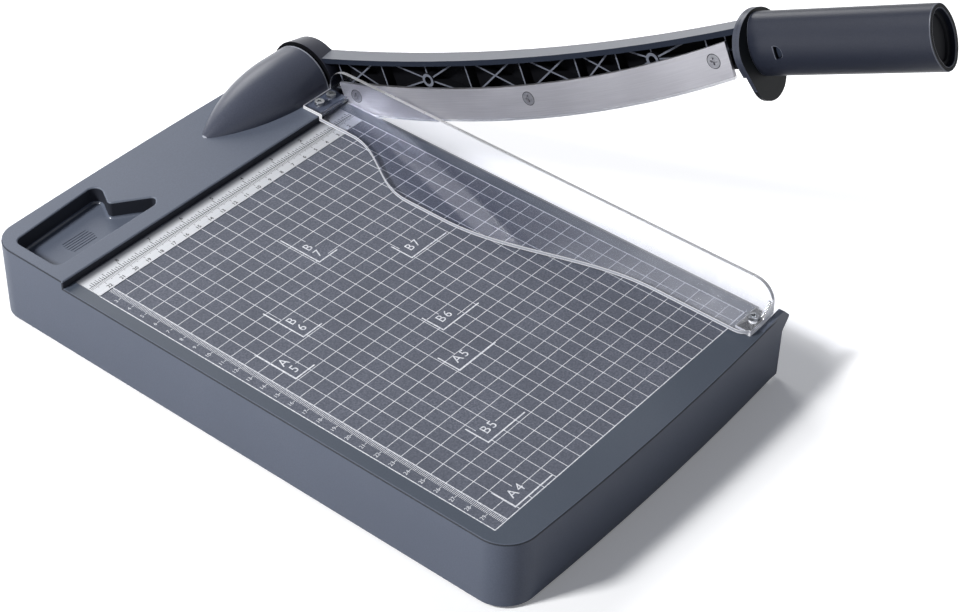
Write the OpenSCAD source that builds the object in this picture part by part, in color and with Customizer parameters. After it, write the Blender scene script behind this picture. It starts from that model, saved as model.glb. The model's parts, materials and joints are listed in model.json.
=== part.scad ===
// Guillotine paper trimmer with a hinged arm, shown with the arm raised.
// Millimetres, +Z up. The user stands at -Y and the blade runs along the right side.
// Inside the modules x is 0 at the cut, y is 0 at the fence and z is 0 on the desk.
// The finished pieces are then moved so that the origin is the middle of the whole
// trimmer's box at rest, on the desk.

/* [Base] */
// Width of the base from its left side to its right wall
base_w = 236.9; // [215:0.1:320]
// Length of the bed from the fence to the front corners
bed_len = 317; // [290:1:400]
// Length of the deck from the fence to the back corners
deck_len = 59.6; // [58:0.1:90]
// Height of the bed above the desk
bed_h = 46; // [40:0.5:60]
// Height of the deck above the bed, the fence that paper is squared against
fence_h = 5; // [4.5:0.1:8]
// Wall thickness of the base shell
base_wall = 3; // [2.4:0.1:4]
// How far the front edge bows out in its middle
front_bow = 3.5; // [1:0.1:8]
// How far the back edge bows out in its middle
back_bow = 1.6; // [1:0.1:6]
// Radius of the left front corner
front_corner = 20; // [10:0.5:28]
// Radius of the left back corner
back_corner = 17; // [10:0.5:24]
// Thickness of the bottom cover
bottom_t = 2.5; // [2:0.1:4]
// Gap round the bottom cover
bottom_gap = 0.3; // [0.1:0.05:0.6]
// Height of the rubber feet under the base
foot_h = 2; // [1.5:0.1:4]
// Radius of a rubber foot
foot_r = 8; // [6:0.5:10]
// Distance of the feet from the sides of the base
foot_inset = 15; // [13:0.5:25]
// Distance of the feet from the front and back corners
foot_setback = 28; // [24:0.5:40]

/* [Storage tray] */
// Rim between the left side and the tray
tray_rim = 8; // [6:0.5:14]
// Rim between the fence and the tray
tray_front_rim = 12; // [8:0.5:14]
// Width of the tray across its long side
tray_w = 70; // [60:1:80]
// Length of the tray from front to back
tray_len = 40; // [34:0.5:41]
// Depth of the tray
tray_depth = 11.5; // [8:0.5:16]
// How far the tray's tapered tail reaches past its far corner
tray_tail = 11.5; // [6:0.5:16]
// How far the finger notch bites back from the far corner
tray_notch = 11; // [6:0.5:16]
// How much further forward the tray's back left corner lies than its back right one
tray_slant = 4.5; // [0:0.5:6]
// Corner radius of the tray
tray_r = 5; // [3:0.5:8]

/* [Ruler] */
// Length of the metal ruler along the fence
ruler_len = 220; // [190:1:240]
// Width of the metal ruler
ruler_w = 19; // [12:0.5:30]
// Thickness of the metal ruler
ruler_t = 1; // [0.8:0.1:2]
// Depth of the ruler's seat in the bed
ruler_seat = 0.7; // [0.4:0.1:1]
// Distance of the ruler from the cut
ruler_from_cut = 10; // [6:0.5:14]
// Gap between the ruler and the fence
ruler_from_fence = 1; // [0.5:0.1:4]

/* [Pivot] */
// Pivot axis behind the fence
pivot_back = 36.8; // [36:0.1:45]
// Pivot axis above the bed
pivot_up = 2; // [1:0.1:4]
// Radius of the pivot cover's round end
cover_r = 23.4; // [22:0.1:25]
// Length of the pivot cover's straight stretch
cover_straight = 17; // [14:0.5:24]
// Radius of the arc that draws the cover to its point
cover_nose_r = 129; // [110:1:150]
// Wall thickness of the pivot cover
cover_wall = 2.4; // [1.8:0.1:3]
// Radius of the arm's hub at its outer face
hub_r = 22.8; // [22:0.1:26]
// How much wider the hub is at its inner face
hub_flare = 2.6; // [0.5:0.1:3]
// Diameter of the pivot bolt's shoulder
bolt_d = 10; // [8:0.5:12]
// Diameter of the pivot bolt's threaded end
bolt_thread_d = 8; // [6:0.5:8]
// Diameter of the pivot bolt's head
bolt_head_d = 18; // [15:0.5:18]
// Height of the pivot bolt's head
bolt_head_h = 3; // [2:0.1:3.5]
// Wall thickness of the pivot bush
bush_wall = 2; // [1.5:0.1:3]
// Thickness of the pivot bush's flange
bush_flange_t = 1; // [0.8:0.1:1.5]
// Thickness of the steel backing plate behind the pivot boss
plate_t = 4; // [3:0.5:6]
// Thickness of the pivot washer
washer_t = 1; // [0.8:0.1:1.5]
// Free height of the disc spring
spring_h = 2; // [1.6:0.1:3]
// Thickness of the disc spring's metal
spring_t = 1.2; // [0.8:0.1:1.4]
// Thickness of the pivot nut
nut_t = 6.5; // [4:0.5:8]
// Width of the pivot nut across its flats
nut_af = 13; // [12:0.5:16]

/* [Cutting] */
// Thickness of the arm's blade
blade_t = 2; // [1.5:0.1:3]
// Width of the blade between its two curved edges
blade_w = 21; // [16:0.5:26]
// Distance from the pivot to the blade's rear end
blade_root = 32; // [30:0.5:34]
// Distance from the pivot to the blade's lowest point with the arm level
blade_low_at = 137; // [120:1:160]
// Depth of the cutting edge's lowest point below the pivot
blade_low = 30.5; // [27:0.5:34]
// Depth of the cutting edge's front tip below the pivot
blade_tip = 7; // [5:0.5:10]
// Bed left over between the end of the cut and the front corners
cut_margin = 16.5; // [14:0.5:24]
// Thickness of the fixed counter blade
counter_t = 2; // [1.5:0.1:3]
// Height of the fixed counter blade
counter_h = 14; // [10:0.5:20]
// Shear gap between the two blades
shear_gap = 0.1; // [0.05:0.01:0.2]

/* [Arm] */
// Angle of the arm above level in the rest pose
arm_raise = 25; // [24.5:0.5:60]
// Width of the arm's beam behind the blade
beam_w = 11; // [9:0.5:14]
// Height of the beam's top edge above the pivot at its lowest point
beam_top_low = 8.3; // [6:0.1:12]
// Height of the beam's top edge above the pivot at the neck
beam_top_end = 23; // [20:0.1:26]
// How much of the blade stands out below the beam
blade_show = 5.5; // [4:0.1:8]
// Thickness of the beam's top flange
flange_t = 3.3; // [2.5:0.1:4]
// Thickness of the beam's web and lower flange
web_t = 2.4; // [2:0.1:3]
// Thickness of the stiffening ribs
rib_t = 1; // [0.8:0.1:2]
// Depth of the neck's underside below the pivot
neck_drop = 2; // [1:0.1:3]

/* [Handle] */
// Width of the oval grip
grip_w = 23; // [21:0.5:27]
// Height of the oval grip
grip_h = 35; // [33:0.5:38]
// Length of the grip
grip_len = 110.5; // [95:0.5:130]
// End radius of the grip's oval section
grip_end_r = 8.5; // [7.5:0.1:9]
// Wall thickness of the grip
grip_wall = 2.6; // [2:0.1:3.2]
// Height of the grip's axis above the pivot with the arm level
grip_up = 11; // [9:0.5:12]
// Distance of the grip's axis from the cut
grip_x = 4.5; // [4:0.5:8]
// Length of the arm's spigot inside the grip
spigot_len = 70; // [50:1:80]
// Depth of the end cap below the grip's rim
cap_sunk = 3; // [1:0.5:6]
// Thickness of the end cap
cap_t = 4; // [2:0.5:6]
// How far the hand guard's round top stands out past the grip
collar_rim = 1.5; // [1:0.1:4]
// Radius of the hand guard's tongue
tongue_r = 14; // [10:0.1:16]
// How far the tongue's round end sits below the grip's axis
tongue_drop = 17.2; // [14:0.1:20]
// Thickness of the hand guard
collar_t = 2.5; // [2:0.1:4]

/* [Safety guard] */
// Wall thickness of the clear guard
guard_t = 2.4; // [2:0.1:3]
// Slot under the guard that the paper slides through
paper_slot = 1.8; // [1.2:0.1:2.2]
// Height of the guard's upright wall above the bed
guard_h = 23; // [20:0.5:32]
// Width of the guard's flange at its narrow ends
guard_w = 26.5; // [24:0.5:34]
// Extra width of the guard's flange at its bulge
guard_bulge = 28; // [15:1:40]
// Distance of the guard's upright wall from the cut
guard_from_cut = 1.5; // [1:0.1:2.5]
// Length of the guard's rear foot on the deck
guard_foot = 12.3; // [10:0.1:12.5]

/* [Fasteners] */
// Diameter of the moulding screws
screw_d = 3; // [2.5:0.1:3.5]
// Diameter of a screw's head
head_d = 6; // [5:0.1:7]
// Diameter of a blade screw's head
blade_head_d = 8; // [6:0.5:9]
// Height of a screw's head
head_h = 1.8; // [1.4:0.1:2]
// Length of a moulding screw under its head
screw_len = 12; // [10:0.5:14]

/* [Fits] */
// Radial clearance of the arm's bush on the pivot bolt
run_gap = 0.05; // [0.02:0.01:0.1]
// Radial clearance of screws, stems and other seated pieces
seat_gap = 0.05; // [0.02:0.01:0.1]
// Clearance between pieces that pass or slide together by hand
slip_gap = 0.2; // [0.1:0.05:0.3]

/* [Hidden] */
$fn = 96;
fn_wide = 720;
run_past = 0.5;

// Levels and the base's outline
z_base = foot_h;
z_bed = bed_h;
z_deck = bed_h + fence_h;
z_pivot = bed_h + pivot_up;
x_wall = -(shear_gap + counter_t);
x_left = x_wall - base_w;
x_mid = (x_left + x_wall) / 2;
y_front = -bed_len;
y_back = deck_len;
front_r = arc_radius(base_w / 2, front_bow);
back_r = arc_radius(base_w / 2, back_bow);
front_c = y_front - front_bow + front_r;
back_c = y_back + back_bow - back_r;

// Screws: depth of a flat head, shares of a head taken by its cross recess, and spare depth under a tip
flat_head_h = 1.7;
recess_reach = 0.55;
recess_w = 0.16;
recess_deep = 0.6;
tip_gap = 0.5;
boss_r = screw_d / 2 + 2.4;

// Stop ear at the right end of the front wall: its top slopes down to the lug's tip
ear_out = 5;
ear_lug = 11;
ear_t = 3.4;
ear_top = 2.6;
ear_brow = 4;
ear_slope = 14;
ear_tip_drop = 4.5;
ear_throat_drop = 12.5;
ear_lug_r = 2;

// Storage tray, bottom screws and feet
tray_x = x_left + tray_rim;
tray_y = tray_front_rim;
tray_notch_up = 0.525 * tray_len;
tray_tail_up = 0.125 * tray_len;
front_row_in = 17;
front_row = y_front + front_row_in;
back_row = 22;
boss_in = 25;
bottom_screw_at = [[x_left + boss_in, front_row], [x_mid, front_row], [x_wall - boss_in, front_row],
    [x_left + boss_in, back_row], [x_mid, back_row], [x_wall - boss_in, -boss_in]];
foot_at = [for (x = [x_left + foot_inset, x_wall - foot_inset],
    y = [y_front + foot_setback, y_back - foot_setback]) [x, y]];
stem_r = 2.5;
stem_past = 3;
stem_len = bottom_t + stem_past;

// Ruler's two opposite corners
ruler_lo = [-ruler_from_cut - ruler_len, -ruler_from_fence - ruler_w, z_bed - ruler_seat];
ruler_hi = ruler_lo + [ruler_len, ruler_w, ruler_t];

// Counter blade
counter_back = 1;
counter_past = 3;
counter_front = cut_margin - bed_len - counter_past;
counter_screw_in = 20;
counter_screw_drop = 1;
counter_screw_z = z_bed - counter_h / 2 - counter_screw_drop;
counter_screw_at = [for (y = [-counter_screw_in, counter_front / 2, counter_front + counter_screw_in])
    [-shear_gap, y, counter_screw_z]];

// Pivot stack along x, from the hub inwards
boss_pivot_r = 20;
boss_pivot_t = 12;
boss_pivot_in = x_wall - boss_pivot_t;
hub_in = x_wall + slip_gap / 2 + bush_flange_t;
hub_out = blade_t + beam_w;
head_sunk = 2;
bush_end = hub_out - bolt_head_h - washer_t - head_sunk;
washer_in = bush_end + run_gap;
washer_rim = 1;
washer_r = bolt_head_d / 2 + washer_rim;
hub_sink_r = washer_r + washer_rim;
head_in = washer_in + washer_t + run_gap;
socket_af = 0.4 * bolt_head_d;
bush_r = bolt_d / 2 + run_gap + bush_wall;
bush_flange_rim = 3;
bush_flange_r = bush_r + bush_flange_rim;
plate_in = boss_pivot_in - plate_t;
spring_in = plate_in - spring_h;
spring_bore_r = bolt_thread_d / 2 + slip_gap;
spring_w = 5.5;
spring_rim_r = spring_bore_r + spring_w;
nut_in = spring_in - nut_t;
bolt_proud = 2;
bolt_end = nut_in - bolt_proud;
deck_gap_past = 4;
deck_gap_in = bolt_end - deck_gap_past;
plate_r = 18.5;
plate_screw_r = 13.5;
plate_screw_len = 8;
plate_screw_turns = [60, 180, 300];

// Pivot cover
cover_in = 0.9;
cover_out = x_wall - cover_in;
nose_len = sqrt(cover_nose_r * cover_nose_r - pow(cover_nose_r - cover_r, 2));
cover_screw_at = [cover_out - 0.5 * nose_len, cover_out - 0.8 * nose_len];
cover_screw_len = 6.5;
cover_boss_r = 3.6;

// Safety guard: its bulge grows and dies away at set shares of the bed's length
guard_wall_x = -guard_from_cut;
guard_wall_in = guard_wall_x - guard_t;
guard_edge_x = guard_wall_x - guard_w;
guard_front = y_front + ear_t + slip_gap;
guard_rear_gap = 0.6;
guard_rear = -guard_rear_gap;
guard_z = z_bed + paper_slot;
bulge_from = -0.085 * bed_len;
bulge_full = -0.2965 * bed_len;
bulge_fall = -0.385 * bed_len;
bulge_to = -0.795 * bed_len;
bulge_step = 6;
guard_corner = 8;
guard_top_r = 13;
guard_pad = [20, 10];
guard_pad_in = 4;
pad_x = guard_edge_x + guard_pad_in;
gusset_h = 9;
guard_screw_in = 8;
guard_screw_at = [[guard_edge_x + guard_screw_in, guard_foot / 2, z_deck + guard_t],
    [guard_wall_x - guard_screw_in, guard_foot / 2, z_deck + guard_t],
    [pad_x + guard_pad[0] / 2, guard_front + guard_pad[1] / 2, guard_z + guard_t]];
guard_screw_roof = [z_deck, z_deck, z_bed];

// Arm in its own frame: s runs forward from the pivot and t upwards, with the arm level
blade_end = pivot_back + bed_len - cut_margin;
edge_r = arc_radius(blade_end - blade_low_at, blade_low - blade_tip);
back_edge_r = edge_r - blade_w;
low_r = edge_r - blade_show;
chord_up = 6;
chord_r = back_edge_r + chord_up;
edge_c = edge_r - blade_low;
collar_gap = 1;
collar_s = pivot_back + bed_len + collar_gap;
top_low_at = 140;
top_r = arc_radius(collar_s - top_low_at, beam_top_end - beam_top_low);
top_c = beam_top_low + top_r;
beam_in = blade_t;
beam_out = blade_t + beam_w;
lip_in = 0.3;
hub_overlap = 3;
pocket_s = hub_r - hub_overlap;
neck_gap = 1;
neck_s = blade_end + neck_gap;

// Ribs and blade screws at set shares of the blade's reach, with two ring bosses on the uprights
rib_sunk = 2;
rib_in = blade_t + rib_sunk;
rib_at = [for (share = [0.092, 0.202, 0.312, 0.41, 0.54, 0.668, 0.76, 0.837, 0.953]) share * blade_end];
fan_ribs = [2, 7];
crossed_bays = [0, 3, 4, 5];
ring_proud = 1;
ring_in = rib_in - ring_proud;
ring_r = 4.2;
ring_bore = 2.4;
blade_screw_at = [for (share = [0.128, 0.548, 0.968]) share * blade_end];
blade_screw_up = 2.5;
blade_screw_boss_r = blade_head_d / 2 + 0.5;
blade_sink_rim = 0.35;
blade_screw_grip = 8;
blade_screw_len = blade_t + blade_screw_grip;

// Handle
spigot_w = grip_w - 2 * grip_wall - 2 * slip_gap;
spigot_h = grip_h - 2 * grip_wall - 2 * slip_gap;
spigot_end_r = grip_end_r - grip_wall - slip_gap;
grip_s = collar_s + collar_t;
spigot_s = grip_s + spigot_len;
grip_web_s = spigot_s + slip_gap;
grip_web_t = 3;
egg_steps = 48;
collar_r = grip_h / 2 + collar_rim;
window_in = 15.7;
window_s = grip_s + window_in;
window_len = 4.6;
window_r = 3.7;
window_up = -0.8;
nub_gap = 0.9;
nub_sunk = 1.5;

// Middle of the whole trimmer's box at rest
grip_end_s = grip_s + grip_len;
reach = grip_end_s * cos(arm_raise) + (grip_h / 2 - grip_up) * sin(arm_raise);
origin_x = (x_left + grip_x + collar_r) / 2;
origin_y = (y_back + back_bow + pivot_back - reach) / 2;

function arc_radius(run, rise) = (run * run + rise * rise) / (2 * rise);

// Height of an arc that is lowest at (low_at, low) and has the given radius
function arc_t(s, low_at, low, r) = low + r - sqrt(r * r - (s - low_at) * (s - low_at));
function top_t(s) = arc_t(s, top_low_at, beam_top_low, top_r);
function chord_t(s) = arc_t(s, blade_low_at, edge_c - chord_r, chord_r);
function ring_t(s) = (chord_t(s) + top_t(s) - flange_t) / 2;
function blade_screw_t(s) =
    blade_screw_up + arc_t(s, blade_low_at, blade_w / 2 - blade_low, edge_r - blade_w / 2);

// Smooth step from 0 to 1 as y goes from a to b
function ease(y, a, b) = (1 - cos(180 * min(max((y - a) / (b - a), 0), 1))) / 2;
function guard_edge(y) = guard_edge_x
    - guard_bulge * (ease(y, bulge_from, bulge_full) - ease(y, bulge_fall, bulge_to));

// Points of an arc about c, from one angle to another in n steps
function arc_points(c, r, from, to, n) =
    [for (i = [0 : n]) let (a = from + (to - from) * i / n) c + r * [cos(a), sin(a)]];

// Points of one rounded corner at b, between its neighbours a and c
function corner(a, b, c, r, n = 6) =
    let (u = (a - b) / norm(a - b), v = (c - b) / norm(c - b), half = acos(u * v) / 2,
        m = b + (u + v) / norm(u + v) * r / sin(half), p = b + u * r / tan(half) - m,
        q = b + v * r / tan(half) - m, from = atan2(p[1], p[0]),
        turn = atan2(p[0] * q[1] - p[1] * q[0], p * q))
    arc_points(m, r, from, from + turn, n);
function rounded(pts, radii) = let (k = len(pts))
    [for (i = [0 : k - 1], p = corner(pts[(i + k - 1) % k], pts[i], pts[(i + 1) % k], radii[i])) p];

module place() { translate([-origin_x, -origin_y, 0]) children(); }
module on_arm() { place() translate([0, pivot_back, z_pivot]) rotate([-arm_raise, 0, 0]) children(); }

// A round piece on the pivot axis, from x0 to x1
module on_pivot(x) { translate([x, pivot_back, z_pivot]) rotate([0, 90, 0]) children(); }
module pivot_rod(x0, x1, r) { on_pivot(x0) cylinder(h = x1 - x0, r = r); }
module arm_rod(x0, x1, r) { translate([x0, 0, 0]) rotate([0, 90, 0]) cylinder(h = x1 - x0, r = r); }

// An upright round piece, from z0 to z1
module post(p, z0, z1, r) { translate([p[0], p[1], z0]) cylinder(h = z1 - z0, r = r); }

// A box between two corners
module block(p, q) { translate(p) cube(q - p); }

// A profile drawn in s and t, as a plate from x0 to x1 on the arm
module arm_plate(x0, x1) { translate([x1, 0, 0]) rotate([90, 0, -90]) linear_extrude(x1 - x0) children(); }

// A section drawn in x and t, run along the arm from s0 to s1 on the grip's axis
module grip_run(s0, s1) {
    translate([grip_x, -s0, grip_up]) rotate([90, 0, 0]) linear_extrude(s1 - s0) children();
}

// Oval of four arcs
module oval(w, h, end_r) {
    rise = h / 2 - end_r;
    side_r = (w * w / 4 + rise * rise - end_r * end_r) / (w - 2 * end_r);
    shift = side_r - w / 2;
    meet = side_r * rise / (side_r - end_r);
    intersection() {
        translate([shift, 0]) circle(side_r);
        translate([-shift, 0]) circle(side_r);
        square([w, 2 * meet], center = true);
    }
    for (side = [-1, 1]) translate([0, side * rise]) circle(end_r);
}

// Round top and a smaller round tongue below it, joined by straight flanks
module egg() {
    lean = asin((collar_r - tongue_r) / tongue_drop);
    polygon(concat(arc_points([0, 0], collar_r, -lean, 180 + lean, egg_steps),
        arc_points([0, -tongue_drop], tongue_r, 180 + lean, 360 - lean, egg_steps)));
}

// Cross recess in the top of a screw head at z = 0
module cross_recess(depth, head = head_d) {
    slot = head * [recess_reach, recess_w];
    for (turn = [0, 90]) rotate(turn) translate([-slot[0] / 2, -slot[1] / 2, -depth])
        cube([slot[0], slot[1], depth + run_past]);
}

// Pan-head screw, with the underside of its head at z = 0
module pan_screw(length) {
    difference() {
        union() {
            cylinder(h = head_h, d = head_d);
            translate([0, 0, -length]) cylinder(h = length + run_past, d = screw_d);
        }
        translate([0, 0, head_h]) cross_recess(recess_deep * head_h);
    }
}

// Bore that a moulding screw's shank is driven into, from z = 0 downwards
module screw_bore(length) {
    translate([0, 0, -length - tip_gap])
        cylinder(h = length + tip_gap + run_past, d = screw_d + 2 * seat_gap);
}

// Countersunk screw, with the top of its head at z = 0
module flat_screw(length, head = head_d) {
    difference() {
        union() {
            translate([0, 0, -flat_head_h]) cylinder(h = flat_head_h, d1 = screw_d, d2 = head);
            translate([0, 0, -length]) cylinder(h = length, d = screw_d);
        }
        cross_recess(recess_deep * flat_head_h, head);
    }
}

// Hole for a countersunk screw, with the surface at z = 0
module flat_hole(length, head = head_d) {
    wide = head + 2 * seat_gap;
    translate([0, 0, -flat_head_h]) cylinder(h = flat_head_h, d1 = screw_d + 2 * seat_gap, d2 = wide);
    cylinder(h = run_past, d = wide);
    screw_bore(length);
}

// Outline of the base seen from above, drawn in by inset
module plan(inset) {
    difference() {
        intersection() {
            translate([x_left + inset, y_front - front_bow])
                square([base_w - 2 * inset, bed_len + deck_len + front_bow + back_bow]);
            translate([x_mid, front_c]) circle(front_r - inset, $fn = fn_wide);
            translate([x_mid, back_c]) circle(back_r - inset, $fn = fn_wide);
        }
        square_corner(inset, front_corner, front_r, front_c, -1);
        square_corner(inset, back_corner, back_r, back_c, 1);
    }
    translate(corner_at(front_corner, front_r, front_c, -1)) circle(front_corner - inset);
    translate(corner_at(back_corner, back_r, back_c, 1)) circle(back_corner - inset);
}

// Middle of a left corner's round, which runs smoothly into the bowed front or back edge
function corner_at(r, edge_r, edge_mid, side) =
    [x_left + r, edge_mid + side * sqrt(pow(edge_r - r, 2) - pow(x_left + r - x_mid, 2))];

// The square corner outside the round's two tangent points
module square_corner(inset, r, edge_r, edge_mid, side) {
    tangent = (r - inset) * (x_left + r - x_mid) / (edge_r - r);
    translate(corner_at(r, edge_r, edge_mid, side) + [tangent, 0]) rotate(side < 0 ? 180 : 90) square(2 * r);
}

// Half of the plan behind the line y = from
module deck_plan(inset, from) {
    intersection() {
        plan(inset);
        translate([x_left, from]) square([base_w, deck_len + back_bow]);
    }
}

// Tray outline: a rounded box whose right end has a finger notch and a tapered tail
module tray_plan() {
    right = tray_x + tray_w;
    polygon(rounded(
        [[tray_x, tray_y], [tray_x, tray_y + tray_len - tray_slant], [right, tray_y + tray_len],
            [right - tray_notch, tray_y + tray_notch_up], [right + tray_tail, tray_y + tray_tail_up],
            [right + tray_tail - tray_tail_up, tray_y]],
        [tray_r, tray_r, tray_r, tray_r / 2, tray_r / 2, tray_r]));
}

// Stop for the arm: the front wall's right end, with a lug that the neck comes down to
module stop_ear() {
    inside = x_wall - base_wall;
    roof = z_bed - base_wall;
    foot = [x_wall - ear_slope, z_bed];
    brow = [ear_brow, z_bed + ear_top];
    tip = [ear_lug, z_bed - ear_tip_drop];
    throat = [ear_out, z_bed - ear_throat_drop];
    translate([0, y_front + ear_t, 0]) rotate([90, 0, 0]) linear_extrude(ear_t) polygon(concat(
        [[inside, z_base], [inside, roof], [foot[0], roof], foot], corner(foot, brow, tip, ear_lug_r),
        corner(brow, tip, throat, ear_lug_r), [throat, [ear_out, z_base]]));
}

// Screw places with z pointing out of the surface that the head sits on
module bottom_screw_places() {
    for (p = bottom_screw_at) translate([p[0], p[1], z_base + head_h]) rotate([180, 0, 0]) children();
}
module counter_screw_places() { for (p = counter_screw_at) translate(p) rotate([0, 90, 0]) children(); }
module plate_screw_places() {
    for (turn = plate_screw_turns) on_pivot(plate_in) rotate(turn) translate([plate_screw_r, 0, 0])
        rotate([180, 0, 0]) children();
}
module cover_screw_places() {
    for (x = cover_screw_at) translate([x, pivot_back, z_deck - base_wall]) rotate([180, 0, 0]) children();
}
module guard_screw_places() { for (p = guard_screw_at) translate(p) children(); }
module blade_screw_places() {
    for (s = blade_screw_at) translate([0, -s, blade_screw_t(s)]) rotate([0, -90, 0]) children();
}

// Outside of the base, and the hollow inside its walls
module base_outside() {
    translate([0, 0, z_base]) {
        linear_extrude(z_bed - z_base) plan(0);
        linear_extrude(z_deck - z_base) deck_plan(0, 0);
    }
}
module base_hollow() {
    deep = run_past - base_wall - z_base;
    translate([0, 0, z_base - run_past]) {
        linear_extrude(z_bed + deep) plan(base_wall);
        linear_extrude(z_deck + deep) deck_plan(base_wall, base_wall);
    }
}

// Bosses inside the base for the screws and the pivot, and the block that the tray is sunk into
module base_bosses() {
    grip_in = base_wall / 2;
    for (p = bottom_screw_at) post(p, z_base + bottom_t, (p[1] > 0 ? z_deck : z_bed) - grip_in, boss_r);
    for (i = [0 : len(guard_screw_at) - 1]) let (p = guard_screw_at[i])
        post(p, p[2] - screw_len - base_wall, guard_screw_roof[i] - grip_in, boss_r);
    for (p = counter_screw_at) translate([x_wall - screw_len, p[1], p[2]]) rotate([0, 90, 0])
        cylinder(h = screw_len - grip_in, r = boss_r);
    pivot_rod(boss_pivot_in, x_wall, boss_pivot_r);
    block([tray_x - base_wall, tray_y - base_wall, z_deck - tray_depth - base_wall],
        [tray_x + tray_w + tray_tail + base_wall, tray_y + tray_len + base_wall, z_deck - grip_in]);
}

module base_shell() {
    color("slategray") place() difference() {
        union() {
            difference() {
                base_outside();
                base_hollow();
            }
            stop_ear();
            base_bosses();
        }
        translate([0, 0, z_deck - tray_depth]) linear_extrude(tray_depth + run_past) tray_plan();
        block(ruler_lo - [slip_gap, slip_gap, 0], ruler_hi + [slip_gap, slip_gap, run_past]);
        // Way through the deck for the bolt's inner end, under the pivot cover
        block([deck_gap_in, pivot_back - plate_r, z_pivot - boss_pivot_r],
            [boss_pivot_in, pivot_back + plate_r, z_pivot + boss_pivot_r]);
        pivot_rod(boss_pivot_in - run_past, x_wall + run_past, bolt_d / 2 + seat_gap);
        bottom_screw_places() screw_bore(screw_len);
        counter_screw_places() flat_hole(screw_len);
        plate_screw_places() screw_bore(plate_t + plate_screw_len);
        cover_screw_places() screw_bore(cover_screw_len);
        guard_screw_places() screw_bore(screw_len);
    }
}

module bottom_cover() {
    color("dimgray") place() difference() {
        translate([0, 0, z_base]) linear_extrude(bottom_t) plan(base_wall + bottom_gap);
        bottom_screw_places() {
            translate([0, 0, -bottom_t]) cylinder(h = bottom_t + run_past, d = screw_d + 2 * slip_gap);
            cylinder(h = head_h + run_past, d = head_d + 2 * slip_gap);
        }
        for (p = foot_at) post(p, z_base - run_past, z_base + bottom_t + run_past, stem_r + seat_gap);
    }
}

module bottom_screws() {
    color("silver") place() bottom_screw_places() pan_screw(screw_len);
}

module rubber_feet() {
    color("black") place() for (p = foot_at) {
        post(p, 0, foot_h, foot_r);
        post(p, 0, foot_h + stem_len, stem_r);
    }
}

module scale_ruler() {
    color("gainsboro") place() block(ruler_lo, ruler_hi);
}

module counter_blade() {
    color("lightsteelblue") place() difference() {
        block([x_wall, counter_front, z_bed - counter_h], [-shear_gap, counter_back, z_bed]);
        counter_screw_places() flat_hole(screw_len);
    }
}

module counter_blade_screws() {
    color("silver") place() counter_screw_places() flat_screw(screw_len);
}

module backing_plate() {
    color("lightsteelblue") place() difference() {
        pivot_rod(plate_in, boss_pivot_in, plate_r);
        pivot_rod(plate_in - run_past, boss_pivot_in + run_past, bolt_d / 2 + seat_gap);
        plate_screw_places() screw_bore(plate_t + plate_screw_len);
    }
}

module backing_plate_screws() {
    color("silver") place() plate_screw_places() pan_screw(plate_t + plate_screw_len);
}

module pivot_bolt() {
    color("silver") place() difference() {
        union() {
            pivot_rod(head_in, head_in + bolt_head_h, bolt_head_d / 2);
            pivot_rod(plate_in, head_in + run_past, bolt_d / 2);
            pivot_rod(bolt_end, plate_in + run_past, bolt_thread_d / 2);
        }
        on_pivot(head_in + bolt_head_h / 3) cylinder(h = bolt_head_h, d = socket_af / cos(30), $fn = 6);
    }
}

module pivot_washer() {
    color("gainsboro") place() difference() {
        pivot_rod(washer_in, washer_in + washer_t, washer_r);
        pivot_rod(washer_in - run_past, washer_in + washer_t + run_past, bolt_d / 2 + slip_gap);
    }
}

module disc_spring() {
    color("gray") place() on_pivot(spring_in) rotate_extrude() polygon([[spring_bore_r, 0],
        [spring_rim_r, spring_h - spring_t], [spring_rim_r, spring_h], [spring_bore_r, spring_t]]);
}

module pivot_nut() {
    color("silver") place() difference() {
        on_pivot(nut_in) cylinder(h = nut_t, d = nut_af / cos(30), $fn = 6);
        pivot_rod(nut_in - run_past, spring_in + run_past, bolt_thread_d / 2 + seat_gap);
    }
}

// Half section of the cover, with its axis along the drawing's y
module cover_section(inset) {
    square([cover_r - inset, cover_straight]);
    translate([0, cover_straight]) intersection() {
        translate([cover_r - cover_nose_r, 0]) circle(cover_nose_r - inset, $fn = 4 * $fn);
        square([cover_r, nose_len]);
    }
}

// Cover before its underside is cut to sit on the deck
module cover_round(inset) { on_pivot(cover_out) rotate([180, 0, 0]) rotate_extrude() cover_section(inset); }

module pivot_cover() {
    color("slategray") place() difference() {
        union() {
            difference() {
                cover_round(0);
                translate([run_past, 0, 0]) cover_round(cover_wall);
            }
            intersection() {
                cover_round(cover_wall / 2);
                for (x = cover_screw_at) post([x, pivot_back], z_deck, z_deck + cover_r, cover_boss_r);
            }
        }
        block([cover_out - cover_straight - nose_len, pivot_back - 2 * cover_r, z_deck - 2 * cover_r],
            [cover_out + run_past, pivot_back + 2 * cover_r, z_deck]);
        cover_screw_places() screw_bore(cover_screw_len);
    }
}

module pivot_cover_screws() {
    color("silver") place() cover_screw_places() pan_screw(cover_screw_len);
}

// Flange of the guard seen from above, wavy on the side of the bed
module guard_plan() {
    back = [guard_edge_x, guard_rear];
    front = [guard_edge_x, guard_front];
    waves = [for (y = [guard_rear : -bulge_step : guard_front + guard_corner]) [guard_edge(y), y]];
    nose = corner(back, front, [guard_wall_x, guard_front], guard_corner);
    polygon(concat([[guard_wall_x, guard_rear]], waves, nose, [[guard_wall_x, guard_front]]));
}

// Upright wall of the guard seen from the side, with y to the right and z up
module guard_side() {
    top = z_bed + guard_h;
    heel = [guard_foot, z_deck];
    toe = [guard_front, guard_z];
    back_top = [guard_foot, top];
    front_top = [guard_front, top];
    polygon(concat([heel], corner(heel, back_top, front_top, guard_top_r),
        corner(back_top, front_top, toe, guard_top_r), [toe, [guard_rear, guard_z], [guard_rear, z_deck]]));
}

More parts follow.
